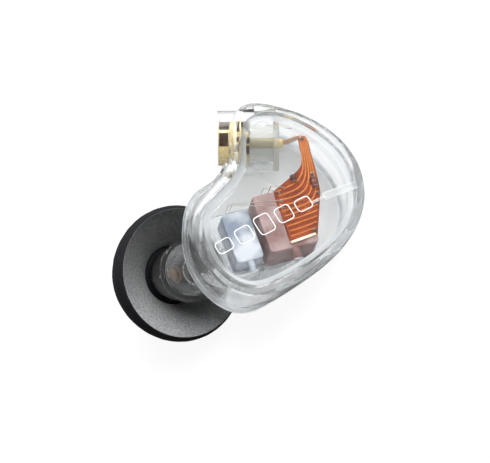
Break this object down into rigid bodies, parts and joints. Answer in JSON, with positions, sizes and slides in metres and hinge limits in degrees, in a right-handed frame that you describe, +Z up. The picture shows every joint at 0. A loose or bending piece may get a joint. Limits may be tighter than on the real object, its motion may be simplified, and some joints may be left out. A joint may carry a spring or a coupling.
{
  "type": "in-ear monitor earpiece",
  "caption": "Clear in-ear monitor earpiece: domed cover on a kidney-shaped housing, coaxial cable socket, receivers with a copper flexible circuit, and a foam ear tip on an angled nozzle.",
  "frame": {"origin": "middle of the footprint, on the surface that the earpiece lies on", "axes": "+Z up; +Y towards the ear tip's nose; the face cover faces -Y and up"},
  "size_m": [0.0218, 0.0254, 0.014],
  "materials": {
    "clear_cover": "clear polycarbonate, polished",
    "clear_shell": "clear polycarbonate, polished",
    "bond_white": "milky bond line",
    "mark_white": "raised white lines",
    "stem_grey": "moulded stem",
    "damper_cloth": "fine acoustic cloth",
    "screen_steel": "perforated steel",
    "black_foam": "fine open-cell foam with a smooth side skin",
    "core_rubber": "smooth glossy rubber",
    "gold": "gold plated",
    "insulator": "translucent moulded insulator",
    "copper_tail": "tinned copper strip",
    "lead_wire": "enamelled copper wire",
    "polyimide": "copper-coloured film",
    "copper_trace": "etched copper",
    "ceramic_tan": "fired ceramic, tinned ends",
    "ceramic_black": "fired ceramic",
    "solder": "solder",
    "clear_silicone": "translucent silicone",
    "woofer_can": "drawn steel can, warm satin",
    "tweeter_can": "drawn steel can, cool satin",
    "nickel_iron": "annealed",
    "magnet": "nickel plated",
    "coil_copper": "fine enamelled winding",
    "membrane": "thin sheet",
    "board_green": "circuit board"
  },
  "bodies": {
    "housing": {"face_cover": "clear_cover", "cover_bond": "bond_white", "main_shell": "clear_shell", "seam_bead": "bond_white", "nozzle_shell": "clear_shell", "cover_marks": "mark_white", "index_rib": "mark_white", "nozzle_tube": "stem_grey", "acoustic_damper": "damper_cloth", "wax_screen": "screen_steel", "socket_barrel": "gold", "retaining_ring": "gold", "socket_insulator": "insulator", "centre_contact": "gold", "socket_disc": "insulator", "woofer_case": "woofer_can", "woofer_cover": "woofer_can", "woofer_spout": "woofer_can", "woofer_armature_base": "nickel_iron", "woofer_yoke": "nickel_iron", "woofer_magnets": "magnet", "woofer_coil": "coil_copper", "woofer_terminal_board": "board_green", "tweeter_case": "tweeter_can", "tweeter_cover": "tweeter_can", "tweeter_spout": "tweeter_can", "tweeter_armature_base": "nickel_iron", "tweeter_yoke": "nickel_iron", "tweeter_magnets": "magnet", "tweeter_coil": "coil_copper", "tweeter_terminal_board": "board_green", "flex_circuit": "polyimide", "flex_traces": "copper_trace", "crossover_capacitor": "ceramic_tan", "crossover_resistor": "ceramic_black", "solder_joints": "solder", "contact_tail": "copper_tail", "receiver_leads": "lead_wire", "woofer_sound_tube": "clear_silicone", "tweeter_sound_tube": "clear_silicone", "receiver_cradle": "clear_silicone"},
    "ear_tip": {"foam_sleeve": "black_foam", "tip_core": "core_rubber"},
    "woofer_armature": {"woofer_reed": "nickel_iron", "woofer_drive_pin": "nickel_iron"},
    "woofer_membrane": {"woofer_diaphragm": "membrane"},
    "tweeter_armature": {"tweeter_reed": "nickel_iron", "tweeter_drive_pin": "nickel_iron"},
    "tweeter_membrane": {"tweeter_diaphragm": "membrane"}
  },
  "joints": [
    {"name": "ear_tip_pull", "type": "slide", "parent": "housing", "child": "ear_tip", "axis": [0.1552, 0.8921, -0.4244], "range_m": [0, 0.006]},
    {"name": "woofer_reed_flex", "type": "hinge", "parent": "housing", "child": "woofer_armature", "pos_m": [0.00232, -0.00433, 0.00627], "axis": [0.5832, -0.5552, -0.593], "range_deg": [-0.35, 0.35], "stiffness_Nm_per_rad": 0.001},
    {"name": "woofer_diaphragm_flex", "type": "hinge", "parent": "housing", "child": "woofer_membrane", "pos_m": [0.00271, -0.00495, 0.00724], "axis": [0.5832, -0.5552, -0.593], "range_deg": [-0.35, 0.35]},
    {"name": "tweeter_reed_flex", "type": "hinge", "parent": "housing", "child": "tweeter_armature", "pos_m": [-0.00081, -0.00212, 0.00827], "axis": [0.5832, -0.5552, -0.593], "range_deg": [-0.35, 0.35], "stiffness_Nm_per_rad": 0.001},
    {"name": "tweeter_diaphragm_flex", "type": "hinge", "parent": "housing", "child": "tweeter_membrane", "pos_m": [-0.00044, -0.00253, 0.00903], "axis": [0.5832, -0.5552, -0.593], "range_deg": [-0.35, 0.35]}
  ],
  "couplings": [
    {"joint": "woofer_diaphragm_flex", "follows": "woofer_reed_flex", "ratio": 0.9216},
    {"joint": "tweeter_diaphragm_flex", "follows": "tweeter_reed_flex", "ratio": 0.9048}
  ]
}
